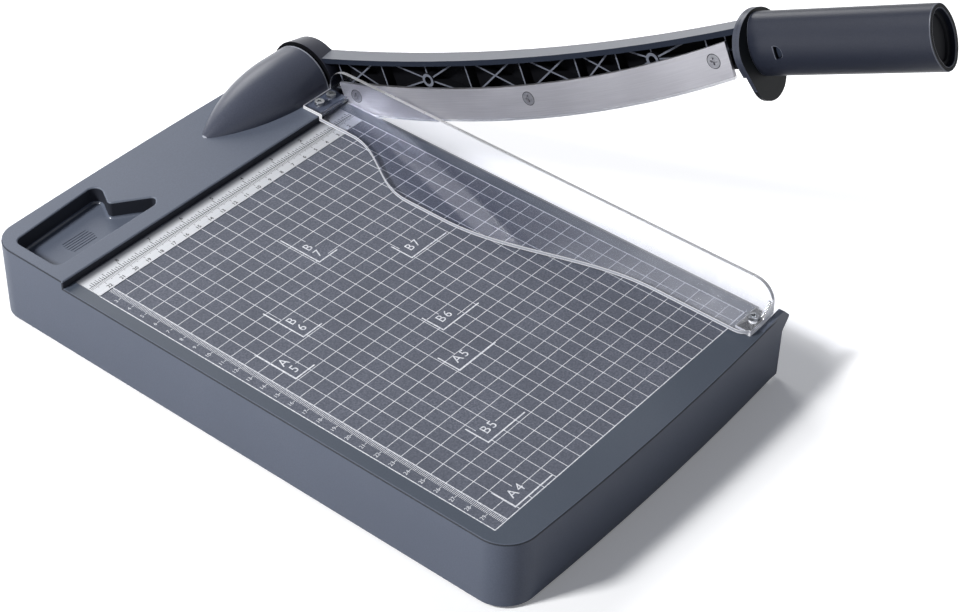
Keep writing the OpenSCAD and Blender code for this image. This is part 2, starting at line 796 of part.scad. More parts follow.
module safety_guard() {
    bite = guard_t / 2;
    root = guard_wall_in + bite;
    color("lightcyan", 0.4) place() difference() {
        union() {
            translate([0, 0, guard_z]) linear_extrude(guard_t) guard_plan();
            translate([guard_wall_in, 0, 0]) rotate([90, 0, 90]) linear_extrude(guard_t) guard_side();
            // Foot on the deck, and the riser that steps down in front of the fence
            block([guard_edge_x, guard_rear - guard_t, z_deck], [guard_wall_x, guard_foot, z_deck + guard_t]);
            block([guard_edge_x, guard_rear - guard_t, guard_z],
                [guard_wall_x, guard_rear, z_deck + guard_t]);
            // Pad that carries the front end on the bed, and a gusset over it
            block([pad_x, guard_front, z_bed],
                [pad_x + guard_pad[0], guard_front + guard_pad[1], guard_z + guard_t]);
            translate([0, guard_front + guard_t, guard_z + bite]) rotate([90, 0, 0]) linear_extrude(guard_t)
                polygon([[root - gusset_h - bite, 0], [root, 0], [root, gusset_h + bite]]);
        }
        guard_screw_places() translate([0, 0, -screw_len])
            cylinder(h = screw_len + run_past, d = screw_d + 2 * slip_gap);
    }
}

module guard_screws() {
    color("silver") place() guard_screw_places() pan_screw(screw_len);
}

// Everything above an arc that is lowest at (low_at, mid - r)
module above_arc(low_at, mid, r) { translate([low_at, mid]) circle(r, $fn = fn_wide); }

// Side view of the beam and neck; inset draws the pocket inside its flanges
module beam_side(inset) {
    top_inset = inset > 0 ? flange_t : 0;
    difference() {
        union() {
            intersection() {
                above_arc(blade_low_at, edge_c, low_r - inset);
                translate([0, -blade_low]) square([neck_s - inset, 2 * blade_low + beam_top_end]);
            }
            translate([neck_s - flange_t, -neck_drop + inset])
                square([collar_s - neck_s + flange_t - inset, neck_drop + beam_top_end + flange_t]);
        }
        above_arc(top_low_at, top_c, top_r + top_inset);
    }
}

// Straight rib between two points of the side view
module strut(p, q) {
    along = q - p;
    translate(p) rotate(atan2(along[1], along[0])) translate([0, -rib_t / 2]) square([norm(along), rib_t]);
}
module upright(s) { translate([s - rib_t / 2, -blade_low]) square([rib_t, blade_low + 2 * beam_top_end]); }

// Uprights, crossed diagonals in some bays, fans from the ring bosses, and a low chord behind the blade
module truss() {
    for (s = rib_at) upright(s);
    upright(neck_s - flange_t);
    for (i = crossed_bays) let (a = rib_at[i], b = rib_at[i + 1]) {
        strut([a, top_t(a)], [b, chord_t(b)]);
        strut([a, chord_t(a)], [b, top_t(b)]);
    }
    for (i = fan_ribs, s = [rib_at[i - 1], rib_at[i + 1]]) {
        strut([rib_at[i], ring_t(rib_at[i])], [s, top_t(s)]);
        strut([rib_at[i], ring_t(rib_at[i])], [s, chord_t(s)]);
    }
    difference() {
        above_arc(blade_low_at, edge_c, chord_r + rib_t / 2);
        above_arc(blade_low_at, edge_c, chord_r - rib_t / 2);
    }
}

// Part of a side view in front of the hub
module past_hub() {
    intersection() {
        children();
        translate([pocket_s, -collar_s]) square([collar_s, 2 * collar_s]);
    }
}

module arm_beam() {
    web_mid = beam_out - web_t / 2;
    color("slategray") on_arm() difference() {
        union() {
            arm_plate(beam_out - web_t, beam_out) beam_side(0);
            arm_plate(beam_in, beam_out) difference() {
                beam_side(0);
                past_hub() beam_side(web_t);
            }
            // Lip of the top flange over the blade
            arm_plate(lip_in, beam_in + run_past) past_hub() intersection() {
                beam_side(0);
                above_arc(top_low_at, top_c, top_r + flange_t);
            }
            arm_plate(rib_in, web_mid) intersection() {
                beam_side(web_t / 2);
                truss();
            }
            for (i = fan_ribs) arm_plate(ring_in, web_mid)
                translate([rib_at[i], ring_t(rib_at[i])]) circle(ring_r);
            for (s = blade_screw_at) arm_plate(beam_in, web_mid)
                translate([s, blade_screw_t(s)]) circle(blade_screw_boss_r);
            translate([hub_in, 0, 0]) rotate([0, 90, 0])
                cylinder(h = hub_out - hub_in, r1 = hub_r + hub_flare, r2 = hub_r);
            // Spigot that carries the hand guard and the grip, with a nub that snaps into the grip's window
            grip_run(collar_s - run_past, spigot_s) oval(spigot_w, spigot_h, spigot_end_r);
            intersection() {
                grip_run(grip_s, spigot_s)
                    oval(grip_w - 2 * nub_sunk, grip_h - 2 * nub_sunk, grip_end_r - nub_sunk);
                snap_window(nub_gap);
            }
        }
        for (i = fan_ribs) arm_plate(ring_in - run_past, beam_out - web_t)
            translate([rib_at[i], ring_t(rib_at[i])]) circle(ring_bore);
        arm_rod(hub_in - run_past, hub_out, bush_r + seat_gap);
        arm_rod(bush_end, hub_out + run_past, hub_sink_r);
        blade_screw_places() screw_bore(blade_screw_len);
        grip_screw_place() screw_bore(screw_len + grip_web_t);
    }
}

module pivot_bush() {
    color("goldenrod") on_arm() difference() {
        union() {
            arm_rod(hub_in - bush_flange_t, hub_in, bush_flange_r);
            arm_rod(hub_in - bush_flange_t, bush_end, bush_r);
        }
        arm_rod(hub_in - bush_flange_t - run_past, bush_end + run_past, bolt_d / 2 + run_gap);
    }
}

module blade() {
    color("silver") on_arm() difference() {
        arm_plate(0, blade_t) intersection() {
            difference() {
                above_arc(blade_low_at, edge_c, edge_r);
                above_arc(blade_low_at, edge_c, back_edge_r);
            }
            translate([blade_root, -2 * blade_low]) square([blade_end - blade_root, 4 * blade_low]);
        }
        blade_screw_places() flat_hole(blade_screw_len, blade_head_d + 2 * blade_sink_rim);
    }
}

module blade_screws() {
    color("silver") on_arm() blade_screw_places() flat_screw(blade_screw_len, blade_head_d);
}

module hand_guard() {
    color("darkslategray") on_arm() difference() {
        grip_run(collar_s, grip_s) egg();
        grip_run(collar_s - run_past, grip_s + run_past) spigot_bore(slip_gap);
    }
}

// Oval around the spigot, wider than it by gap on every side
module spigot_bore(gap) { oval(spigot_w + 2 * gap, spigot_h + 2 * gap, spigot_end_r + gap); }

// D-shaped way through the grip's side towards the bed, smaller by gap all round
module snap_window(gap) {
    translate([grip_x - grip_w, -window_s - gap, grip_up + window_up]) intersection() {
        block([0, -grip_w, -grip_w], [grip_w, 0, grip_w]);
        translate([0, window_r - window_len + gap, 0]) rotate([0, 90, 0])
            cylinder(h = grip_w, r = window_r - gap);
    }
}

// Place of the screw in the grip's inner web, with z pointing out of the web
module grip_screw_place() {
    translate([grip_x, -grip_web_s - grip_web_t, grip_up]) rotate([90, 0, 0]) children();
}

module grip() {
    color("slategray") on_arm() difference() {
        grip_run(grip_s, grip_end_s) oval(grip_w, grip_h, grip_end_r);
        grip_run(grip_s - run_past, grip_web_s) spigot_bore(slip_gap);
        grip_run(grip_web_s + grip_web_t, grip_end_s + run_past) spigot_bore(slip_gap);
        grip_screw_place() translate([0, 0, -2 * grip_web_t])
            cylinder(h = 3 * grip_web_t, d = screw_d + 2 * slip_gap);
        snap_window(0);
    }
}

module grip_screw() {
    color("silver") on_arm() grip_screw_place() pan_screw(screw_len + grip_web_t);
}

module grip_end_cap() {
    cap_s = grip_end_s - cap_sunk;
    color("black") on_arm() grip_run(cap_s - cap_t, cap_s) spigot_bore(slip_gap - seat_gap);
}

base_shell();
bottom_cover();
bottom_screws();
rubber_feet();
scale_ruler();
counter_blade();
counter_blade_screws();
backing_plate();
backing_plate_screws();
pivot_bolt();
pivot_washer();
disc_spring();
pivot_nut();
pivot_cover();
pivot_cover_screws();
safety_guard();
guard_screws();
arm_beam();
pivot_bush();
blade();
blade_screws();
hand_guard();
grip();
grip_screw();
grip_end_cap();
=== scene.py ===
import json
import math
import bmesh
import bpy
from mathutils import Matrix, Vector


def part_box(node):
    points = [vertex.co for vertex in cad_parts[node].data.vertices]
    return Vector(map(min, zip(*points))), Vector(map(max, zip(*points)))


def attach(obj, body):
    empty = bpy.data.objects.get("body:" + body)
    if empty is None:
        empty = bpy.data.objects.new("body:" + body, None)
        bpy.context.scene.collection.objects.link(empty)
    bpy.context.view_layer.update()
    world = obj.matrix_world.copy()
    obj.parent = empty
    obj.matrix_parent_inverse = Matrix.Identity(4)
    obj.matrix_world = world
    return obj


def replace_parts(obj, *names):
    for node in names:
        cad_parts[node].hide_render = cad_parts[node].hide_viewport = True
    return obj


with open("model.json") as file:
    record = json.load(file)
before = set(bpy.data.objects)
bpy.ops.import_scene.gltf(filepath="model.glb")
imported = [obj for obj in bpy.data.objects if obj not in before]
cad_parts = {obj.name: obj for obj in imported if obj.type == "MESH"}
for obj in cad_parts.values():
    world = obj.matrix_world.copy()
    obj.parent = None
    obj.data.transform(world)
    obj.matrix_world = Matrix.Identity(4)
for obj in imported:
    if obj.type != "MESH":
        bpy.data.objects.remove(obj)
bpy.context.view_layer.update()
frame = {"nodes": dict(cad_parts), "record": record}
scene = bpy.context.scene

# Camera: a long lens in front of the left front corner, looking down at 40 degrees.
# Its place was solved from the 10 mm squares printed on the bed.
CAMERA_AT = (-0.772762, -0.628851, 0.867405)
CAMERA_TURN = (50.3025, -1.3223, -50.9758)


def placed(name, data):
    """An object of the scene that shows a camera, a lamp, a mesh or a text."""
    thing = bpy.data.objects.new(name, data)
    scene.collection.objects.link(thing)
    return thing


lens = bpy.data.cameras.new("camera")
lens.sensor_width = 36.0
lens.lens = 87.25
camera = placed("camera", lens)
camera.location = CAMERA_AT
camera.rotation_euler = [math.radians(turn) for turn in CAMERA_TURN]
scene.camera = camera
scene.view_settings.view_transform = "Standard"

# Studio: a pale card floor, a soft lamp high on the left, a weak one behind on the right, and a weak
# cool sky. To the eye, in metal and through the clear guard the card and the low sky are white and the
# ceiling is grey; the card keeps the shadow that the trimmer throws to the right and to the front.
SKY_LIGHT = 0.16
CEILING, CEILING_RISE = 0.35, (0.3, 0.6)
FILL_NEAR, FILL_FAR, FILL_HORIZON = 0.16, 0.7, 0.35
FILL_EDGE, HORIZON_EDGE = (0.03, 0.075), (0.5, 1.8)
BASE_MIDDLE, BASE_HALF = (-0.013, 0.036, 0), (0.118, 0.189, 0)
CARD_HALF = 8
LAMPS = (("softbox", Vector((-0.68, 0.31, 0.68)), 0.3, 0.4, 48.0),
         ("fill", Vector((0.35, 0.80, 0.48)), 1.0, 1.0, 16.0))
LAMP_AWAY = 2.2
WHITE = (1, 1, 1, 1)


def srgb(code):
    """Linear colour of an sRGB hex value."""
    parts = [int(code[i:i + 2], 16) / 255 for i in (1, 3, 5)]
    return (*[p / 12.92 if p <= 0.04045 else ((p + 0.055) / 1.055) ** 2.4 for p in parts], 1.0)


def feed(tree, node, feeds):
    """Set a node's inputs; each feed is a value, an output, or a node whose first output in use is linked."""
    for name, value in feeds.items():
        if isinstance(value, bpy.types.Node):
            value = next(output for output in value.outputs if output.enabled)
        if isinstance(value, bpy.types.NodeSocket):
            tree.links.new(value, node.inputs[name])
        else:
            node.inputs[name].default_value = value


def add(tree, kind, feeds=None, **settings):
    """One node with its settings and its feeds."""
    node = tree.nodes.new(kind)
    for name, value in settings.items():
        setattr(node, name, value)
    feed(tree, node, feeds or {})
    return node


def blank(name):
    """A new material, its tree, its shader, and the place on the piece in metres."""
    finish = bpy.data.materials.new(name)
    finish.use_nodes = True
    tree = finish.node_tree
    return finish, tree, tree.nodes["Principled BSDF"], add(tree, "ShaderNodeTexCoord").outputs["Object"]


def seen_white(tree):
    """1 for rays from the eye, from a reflection or through the guard, and 0 for the light that a matt
    surface gathers."""
    path = add(tree, "ShaderNodeLightPath").outputs
    near = add(tree, "ShaderNodeMath", {0: path["Is Camera Ray"], 1: path["Is Glossy Ray"]},
               operation="MAXIMUM")
    far = add(tree, "ShaderNodeMath", {0: near, 1: path["Is Transmission Ray"]}, operation="MAXIMUM")
    sight = add(tree, "ShaderNodeMath", {0: path["Diffuse Depth"], 1: 0.5}, operation="LESS_THAN")
    return add(tree, "ShaderNodeMath", {0: far, 1: sight}, operation="MULTIPLY")


scene.world = bpy.data.worlds.new("studio_sky")
scene.world.use_nodes = True
tree = scene.world.node_tree
toward = add(tree, "ShaderNodeSeparateXYZ", {"Vector": add(tree, "ShaderNodeTexCoord").outputs["Generated"]})
paper = add(tree, "ShaderNodeMapRange", {"Value": toward.outputs["Z"], "From Min": CEILING_RISE[0],
            "From Max": CEILING_RISE[1], "To Min": 1.0, "To Max": CEILING}, interpolation_type="SMOOTHSTEP")
level = add(tree, "ShaderNodeMix", {"Factor": seen_white(tree), "A": SKY_LIGHT, "B": paper})
air = add(tree, "ShaderNodeMix", {"Factor": seen_white(tree), "A": srgb("#d3dcf2"), "B": WHITE},
          data_type="RGBA")
feed(tree, tree.nodes["Background"], {"Color": air, "Strength": level})

# White card: matt, with the grey of a studio in the light that it throws back.
card, tree, shader, at = blank("white_card")
tree.nodes.remove(shader)
tone = add(tree, "ShaderNodeMix", {"Factor": seen_white(tree), "A": srgb("#787c8b"), "B": WHITE},
           data_type="RGBA")
matt = add(tree, "ShaderNodeBsdfDiffuse", {"Color": tone})
# Painted light: to the eye the card glows weakly within 3 cm of the base, strongly from 7.5 cm out, and more
# towards the horizon, so the base's shadow stays dark and the arm's shadow washes out.
place = add(tree, "ShaderNodeVectorMath", {0: at, 1: BASE_MIDDLE}, operation="SUBTRACT")
side = add(tree, "ShaderNodeVectorMath", {0: place}, operation="ABSOLUTE")
past = add(tree, "ShaderNodeVectorMath", {0: side, 1: BASE_HALF}, operation="SUBTRACT")
outside = add(tree, "ShaderNodeVectorMath", {0: past}, operation="MAXIMUM")
away = add(tree, "ShaderNodeVectorMath", {0: outside}, operation="LENGTH")
paper = add(tree, "ShaderNodeMapRange", {"Value": away, "From Min": FILL_EDGE[0], "From Max": FILL_EDGE[1],
            "To Min": FILL_NEAR, "To Max": FILL_FAR}, interpolation_type="SMOOTHSTEP")
horizon = add(tree, "ShaderNodeMapRange", {"Value": away, "From Min": HORIZON_EDGE[0],
              "From Max": HORIZON_EDGE[1], "To Max": FILL_HORIZON}, interpolation_type="SMOOTHSTEP")
white = add(tree, "ShaderNodeMath", {0: paper, 1: horizon}, operation="ADD")
fill = add(tree, "ShaderNodeMath", {0: seen_white(tree), 1: white}, operation="MULTIPLY")
glow = add(tree, "ShaderNodeEmission", {"Strength": fill})
both = add(tree, "ShaderNodeAddShader", {0: matt, 1: glow})
feed(tree, tree.nodes["Material Output"], {"Surface": both})
sheet = bpy.data.meshes.new("floor")
corners = ((-1, -1), (1, -1), (1, 1), (-1, 1))
sheet.from_pydata([(x * CARD_HALF, y * CARD_HALF, 0) for x, y in corners], [], [(0, 1, 2, 3)])
sheet.materials.append(card)
floor = placed("floor", sheet)

for name, toward, wide, tall, watts in LAMPS:
    softbox = bpy.data.lights.new(name, "AREA")
    softbox.shape = "RECTANGLE"
    softbox.size, softbox.size_y, softbox.energy = wide, tall, watts
    lamp = placed(name, softbox)
    lamp.location = toward.normalized() * LAMP_AWAY
    lamp.rotation_euler = toward.to_track_quat("Z", "Y").to_euler()

# Base: one hollow ABS moulding with the bed, the raised deck, its fence and the storage tray.
# The top edges are rounded by about 1 mm, the tray's floor runs up into its walls, and the bed
# has a spark-eroded grain so that paper slides on it.
EDGE_ROUND = 0.0009
TRAY_DEEP, TRAY_FILLET = 0.0115, 0.0016
SHARP_STRIP, RULER_SEAT = 0.012, 0.0006
FLUSH, TENTH, MM = 2e-5, 0.0001, 0.001
bed_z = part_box("counter_blade")[1].z
deck_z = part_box("pivot_cover")[0].z
cut_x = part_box("counter_blade")[1].x + TENTH
fence_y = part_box("counter_blade")[1].y - MM
left_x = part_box("base_shell")[0].x
tray_z = deck_z - TRAY_DEEP
tray_lo = Vector((left_x + 0.004, fence_y + 0.006, 0))
tray_hi = Vector((left_x + 0.09, fence_y + 0.056, 0))
ruler_lo, ruler_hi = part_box("scale_ruler")
grid_lo, grid_hi = Vector((cut_x - 0.230, fence_y - 0.300, bed_z)), Vector((cut_x - 0.010, fence_y, bed_z))


def welded(node):
    """A node's CAD triangles joined into one skin."""
    skin = bmesh.new()
    skin.from_mesh(frame["nodes"][node].data)
    bmesh.ops.remove_doubles(skin, verts=skin.verts, dist=2e-6)
    return skin


def flattened(skin):
    """A skin in which the triangles of a flat face are one face again."""
    bmesh.ops.dissolve_limit(skin, angle_limit=math.radians(0.1), verts=skin.verts, edges=skin.edges)
    return skin


def rounded(skin, edges, offset, segments, clamp):
    """Round some edges of a skin, and say which faces the rounds are."""
    return bmesh.ops.bevel(skin, geom=edges, offset=offset, offset_type="OFFSET", segments=segments,
                           profile=0.5, affect="EDGES", clamp_overlap=clamp)["faces"]


def cut_across(skin, geom, point, normal):
    """Split what is given of a skin along a plane."""
    bmesh.ops.bisect_plane(skin, geom=geom, dist=1e-6, plane_co=point, plane_no=normal)


def baked(holder):
    """The mesh that an object shows with its modifiers; the object goes."""
    mesh = bpy.data.meshes.new_from_object(holder.evaluated_get(bpy.context.evaluated_depsgraph_get()))
    holder.modifiers.clear()
    bpy.data.objects.remove(holder)
    return mesh


def set_down(mesh, name, body, finishes, crease=32, flat=0):
    """A finished mesh as a piece that rides on a body, smooth apart from edges sharper than crease.
    With flat above 0 the larger faces pull the shading of small rounds and fillets straight."""
    for finish in finishes:
        mesh.materials.append(finish)
    mesh.polygons.foreach_set("use_smooth", [True] * len(mesh.polygons))
    mesh.set_sharp_from_angle(angle=math.radians(crease))
    if flat:
        holder = placed(name, mesh)
        even = holder.modifiers.new("flat_faces", "WEIGHTED_NORMAL")
        even.keep_sharp, even.weight = True, flat
        mesh = baked(holder)
    piece = placed(name, mesh)
    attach(piece, body)
    return piece


def as_mesh(skin, name):
    """A skin as a mesh, without the shading normals of its loose triangles, which don't fit it."""
    mesh = bpy.data.meshes.new(name)
    skin.to_mesh(mesh)
    skin.free()
    mesh.attributes.remove(mesh.attributes["custom_normal"])
    return mesh


def stand_for(skin, node, name, body, finishes, crease=32, flat=0):
    """A skin made from a node's CAD triangles, shown in that node's place."""
    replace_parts(set_down(as_mesh(skin, name), name, body, finishes, crease, flat), node)


def moulded(name, light, dark, grain, depth, rough, gloss=0.32, flow=45):
    """ABS as it leaves the tool: a fine grain, in millimetres, over faint flow marks, with a satin shine."""
    finish, tree, shader, at = blank(name)
    bloom = add(tree, "ShaderNodeTexNoise", {"Vector": at, "Scale": 1000 / flow, "Detail": 3.0,
                "Roughness": 0.55})
    grit = add(tree, "ShaderNodeTexNoise", {"Vector": at, "Scale": 1000 / grain, "Detail": 2.0,
               "Roughness": 0.6})
    speck = add(tree, "ShaderNodeMapRange", {"Value": grit, "From Min": 0.32, "From Max": 0.68})
    shade = add(tree, "ShaderNodeMath", {0: bloom, 1: speck, 2: 0.25}, operation="MULTIPLY_ADD")
    tone = add(tree, "ShaderNodeMix", {"Factor": shade, "A": srgb(dark), "B": srgb(light)}, data_type="RGBA")
    shine = add(tree, "ShaderNodeMapRange", {"Value": grit, "To Min": rough - 0.07, "To Max": rough + 0.07})
    relief = add(tree, "ShaderNodeBump", {"Height": grit, "Strength": 0.5, "Distance": depth / 1000})
    feed(tree, shader, {"Base Color": tone, "Roughness": shine, "Normal": relief, "IOR": 1.53,
         "Specular IOR Level": gloss})
    return finish


def level_of(edge, z):
    return all(abs(v.co.z - z) < FLUSH for v in edge.verts)


def middle(edge):
    return (edge.verts[0].co + edge.verts[1].co) / 2


def span_of(face, axis):
    """Least and greatest place of a face's corners along an axis."""
    across = [v.co[axis] for v in face.verts]
    return min(across), max(across)


def on_bed(face):
    return face.normal.z > 0.999 and abs(face.calc_center_median().z - bed_z) < FLUSH


# Satin slate ABS, polished tool: even colour, soft shine. The grain of 0.3 mm is drawn at 0.9 mm to show.
slate_abs = moulded("abs_slate_satin", "#656c7b", "#59606e", 0.9, 0.02, 0.5)
# The same ABS from the spark-eroded bed: greyer and duller, with its 0.5 mm grain drawn at 1.1 mm to show.
bed_abs = moulded("abs_slate_sparked", "#747885", "#3d414c", 1.1, 0.07, 0.62)
# Fence and tray walls: dull, and dark with painted shade for the shade in these recesses.
shaded_wall_abs = moulded("abs_slate_painted_shade", "#2d303a", "#23262e", 0.9, 0.03, 0.66)
# Rims of the tray and the fence: pale with painted highlight.
rim_highlight_abs = moulded("abs_slate_painted_highlight", "#7e8592", "#6a707d", 0.9, 0.02, 0.42)
# Border round the printed squares, polished in the tool: smooth, darker and a little shinier than the grain.
border_abs = moulded("abs_slate_polished", "#4f5763", "#474e5a", 0.9, 0.01, 0.42)
# Outer top edge: its round is darker, a thin dark line.
dark_edge_abs = moulded("abs_slate_dark_edge", "#2b2f38", "#22262d", 0.9, 0.02, 0.6)
# Fillets of the tray, polished in the tool: they catch the lamp in thin bright lines, and a slightly lighter
# tone adds painted highlight.
fillet_abs = moulded("abs_slate_bright", "#6a7180", "#5c6371", 0.9, 0.004, 0.2, 0.6)
_, BED, SHADED_WALL, RIM_HIGHLIGHT, BORDER, DARK_EDGE, FILLET = range(7)

skin = flattened(welded("base_shell"))
rim = []
for edge in skin.edges:
    if not edge.is_manifold or edge.calc_face_angle_signed() < math.radians(40):
        continue
    at = middle(edge)
    by_ruler = ruler_lo.x - MM < at.x < ruler_hi.x + MM and ruler_lo.y - MM < at.y < ruler_hi.y + RULER_SEAT
    fence_end = at.x < left_x + MM and abs(at.y - fence_y) < FLUSH
    on_top = level_of(edge, deck_z) or level_of(edge, bed_z) or fence_end
    if on_top and at.x < cut_x - SHARP_STRIP and not by_ruler:
        rim.append(edge)
rounded(skin, rim, EDGE_ROUND, 3, False)
hollow = [e for e in skin.edges if e.is_manifold and level_of(e, tray_z)
          and e.calc_face_angle_signed() < -math.radians(40)]
rounded(skin, hollow, TRAY_FILLET, 4, False)
for corner, across in ((grid_lo, (1, 0, 0)), (grid_lo, (0, 1, 0)), (grid_hi, (1, 0, 0))):
    sheet = [f for f in skin.faces if on_bed(f)]
    sides = [e for e in skin.edges if any(on_bed(f) for f in e.link_faces)]
    points = [v for v in skin.verts if any(on_bed(f) for f in v.link_faces)]
    cut_across(skin, [*points, *sides, *sheet], corner, across)
# The walls of the tray and the fence get painted shade, their rims a painted highlight, and the outer top
# edge's round a darker line.
for face in skin.faces:
    at, up = face.calc_center_median(), face.normal.z
    low, high = span_of(face, 2)
    in_tray = tray_lo.x < at.x < tray_hi.x and tray_lo.y < at.y < tray_hi.y
    inside = low > tray_z - TENTH and high < deck_z + TENTH and (abs(at.y - fence_y) < MM or in_tray)
    outside = not inside and at.x < cut_x - SHARP_STRIP
    if on_bed(face):
        face.material_index = BED if grid_lo.x < at.x < grid_hi.x and at.y > grid_lo.y else BORDER
    elif inside and abs(up) < 0.15:
        face.material_index = SHADED_WALL
    elif inside and up < 0.95 and high > deck_z - EDGE_ROUND:
        face.material_index = RIM_HIGHLIGHT
    elif outside and 0.05 < up < 0.8 and low > bed_z - EDGE_ROUND - 1e-5:
        face.material_index = DARK_EDGE
    elif inside and up < 0.97 and high < tray_z + TRAY_FILLET + 1e-5:
        face.material_index = FILLET
stand_for(skin, "base_shell", "moulded_base", "base",
          [slate_abs, bed_abs, shaded_wall_abs, rim_highlight_abs, border_abs, dark_edge_abs, fillet_abs], 40, 100)

# Ridges on the tray's floor: six low ribs moulded with the base, for small things to be picked up from.
# They and the bed's printed lines are bars on points; each point carries its bar's length and width.
RIDGES, RIDGE_HIGH, RIDGE_WIDE, RIDGE_LONG = 6, 0.0003, 0.0006, 0.0205
RIDGE_STEP, RIDGE_TAPER = 0.0019, 0.0012
ridge_x, ridge_y = cut_x - 0.1975, fence_y + 0.0265


def bars_on_points(name, bars, thick, finish):
    """A mesh of upright bars, each given by its middle (x, y), its foot's height and its two sizes."""
    points = bpy.data.meshes.new(name)
    points.from_pydata([(x, y, z + thick / 2) for x, y, z, wide, long in bars], [], [])
    sizes = points.attributes.new("bar_size", "FLOAT_VECTOR", "POINT")
    sizes.data.foreach_set("vector", [n for x, y, z, wide, long in bars for n in (wide, long, 1.0)])
    tree = bpy.data.node_groups.new("bars_on_points", "GeometryNodeTree")
    tree.interface.new_socket("Points", in_out="INPUT", socket_type="NodeSocketGeometry")
    thickness = tree.interface.new_socket("Thickness", in_out="INPUT", socket_type="NodeSocketFloat")
    ink = tree.interface.new_socket("Finish", in_out="INPUT", socket_type="NodeSocketMaterial")
    tree.interface.new_socket("Bars", in_out="OUTPUT", socket_type="NodeSocketGeometry")
    given = add(tree, "NodeGroupInput").outputs
    size = add(tree, "GeometryNodeInputNamedAttribute", {"Name": "bar_size"}, data_type="FLOAT_VECTOR")
    tall = add(tree, "ShaderNodeCombineXYZ", {"X": 1.0, "Y": 1.0, "Z": given["Thickness"]})
    stretch = add(tree, "ShaderNodeVectorMath", {0: size, 1: tall}, operation="MULTIPLY")
    bar = add(tree, "GeometryNodeMeshCube")
    spread = add(tree, "GeometryNodeInstanceOnPoints", {"Points": given["Points"],
                 "Instance": bar, "Scale": stretch})
    solid = add(tree, "GeometryNodeRealizeInstances", {"Geometry": spread})
    dyed = add(tree, "GeometryNodeSetMaterial", {"Geometry": solid, "Material": given["Finish"]})
    add(tree, "NodeGroupOutput", {"Bars": dyed})
    holder = placed(name, points)
    rule = holder.modifiers.new("bars", "NODES")
    rule.node_group = tree
    rule[thickness.identifier] = thick
    rule[ink.identifier] = finish
    return baked(holder)


ridges = [(ridge_x, ridge_y + RIDGE_STEP * i, tray_z - TENTH,
           RIDGE_LONG - RIDGE_TAPER * abs(i - (RIDGES - 1) / 2), RIDGE_WIDE) for i in range(RIDGES)]
set_down(bars_on_points("tray_ridges", ridges, RIDGE_HIGH + TENTH, slate_abs),
         "tray_ridges", "base", [])

# Print on the bed: white screen-printed squares of 10 mm, a millimetre scale down the left side and
# corner brackets for common paper sizes. The ink stands 0.04 mm proud, with its foot in the plastic.
INK, LAYER = 0.00004, 2e-6
LINE, FRAME_LINE, BRACKET, TICK = 0.0004, 0.00062, 0.00085, 0.00034
SIZES = {"B7": (91, 128), "B6": (128, 182), "A5": (148, 210), "B5": (182, 257), "A4": (210, 297)}
LETTER, FIGURE, WIDE_SET = 0.0082, 0.0034, 1.25
SQUARE, RIGHT, BACK, LEFT, FRONT, OUTER = 10, 10, 20, 220, 300, 230
CM_REACH, MM_REACH, FIGURE_OUT = 5.2, 3.6, 6.9
BRACKET_OFF, BRACKET_END = 0.45, 0.85
# A bracket's two arms, the blank field for its name and the name's place, in millimetres from the corner:
# first with the name as a word, then, for a sheet turned round, with one letter above the other.
WORD_ARMS, WORD_FIELD, WORD_IN = (30, 15), (14.5, 10.0), (8.6, 6.5)
TURNED = ("B7", "B6", "A5")
STACK_ARMS, STACK_FIELD, STACK_IN = (14.5, 29.5), (8.5, 18.0), ((4.9, 13.2), (4.9, 5.4))

# Screen ink on grained plastic: an even white that thins a little over the grain.
white_ink, tree, shader, at = blank("screen_ink_white")
grain = add(tree, "ShaderNodeTexNoise", {"Vector": at, "Scale": 1000 / 1.4, "Detail": 2.0})
thin = add(tree, "ShaderNodeMapRange", {"Value": grain, "From Min": 0.3, "From Max": 0.62})
tone = add(tree, "ShaderNodeMix", {"Factor": thin, "A": srgb("#c3c6ce"), "B": srgb("#f1f2f5")},
           data_type="RGBA")
feed(tree, shader, {"Base Color": tone, "Roughness": 0.6})


def bed(x, y):
    """A point of the bed in millimetres left of the cut and in front of the fence."""
    return cut_x - x / 1000, fence_y - y / 1000


def ruled(x0, y0, x1, y1, width, z, layer=0):
    """A printed line between two points of the bed in millimetres, as a bar in one of the layers of ink."""
    (ax, ay), (bx, by) = bed(x0, y0), bed(x1, y1)
    return ((ax + bx) / 2, (ay + by) / 2, z - INK / 2 + layer * LAYER,
            max(abs(ax - bx), width), max(abs(ay - by), width))


# Each mark is a sheet's corner with the lengths of its two arms, and each blank the field of its name.
marks, blanks, letters = [], [], []
for word, (short, long) in SIZES.items():
    marks.append((short, long, *WORD_ARMS))
    blanks.append((short, long, *WORD_FIELD))
    letters.append((word, short - WORD_IN[0], long - WORD_IN[1], LETTER, WIDE_SET))
for word in TURNED:
    short, long = SIZES[word]
    marks.append((long, short, *STACK_ARMS))
    blanks.append((long, short, *STACK_FIELD))
    letters += [(sign, long - x, short - y, LETTER, 1.0) for sign, (x, y) in zip(word, STACK_IN)]


def spans(at, start, end, across):
    """What is left of a grid line from start to end where the blank label fields interrupt it."""
    cuts = []
    for w, h, wide, tall in blanks:
        (lo, hi), (a, b) = (w - wide, w), (h - tall, h)
        if across == "y":
            (lo, hi), (a, b) = (a, b), (lo, hi)
        if lo < at < hi:
            cuts.append((max(a, start), min(b, end)))
    left, here = [], start
    for a, b in sorted(c for c in cuts if c[1] > c[0]):
        if a > here:
            left.append((here, a))
        here = max(here, b)
    return left + ([(here, end)] if end > here else [])


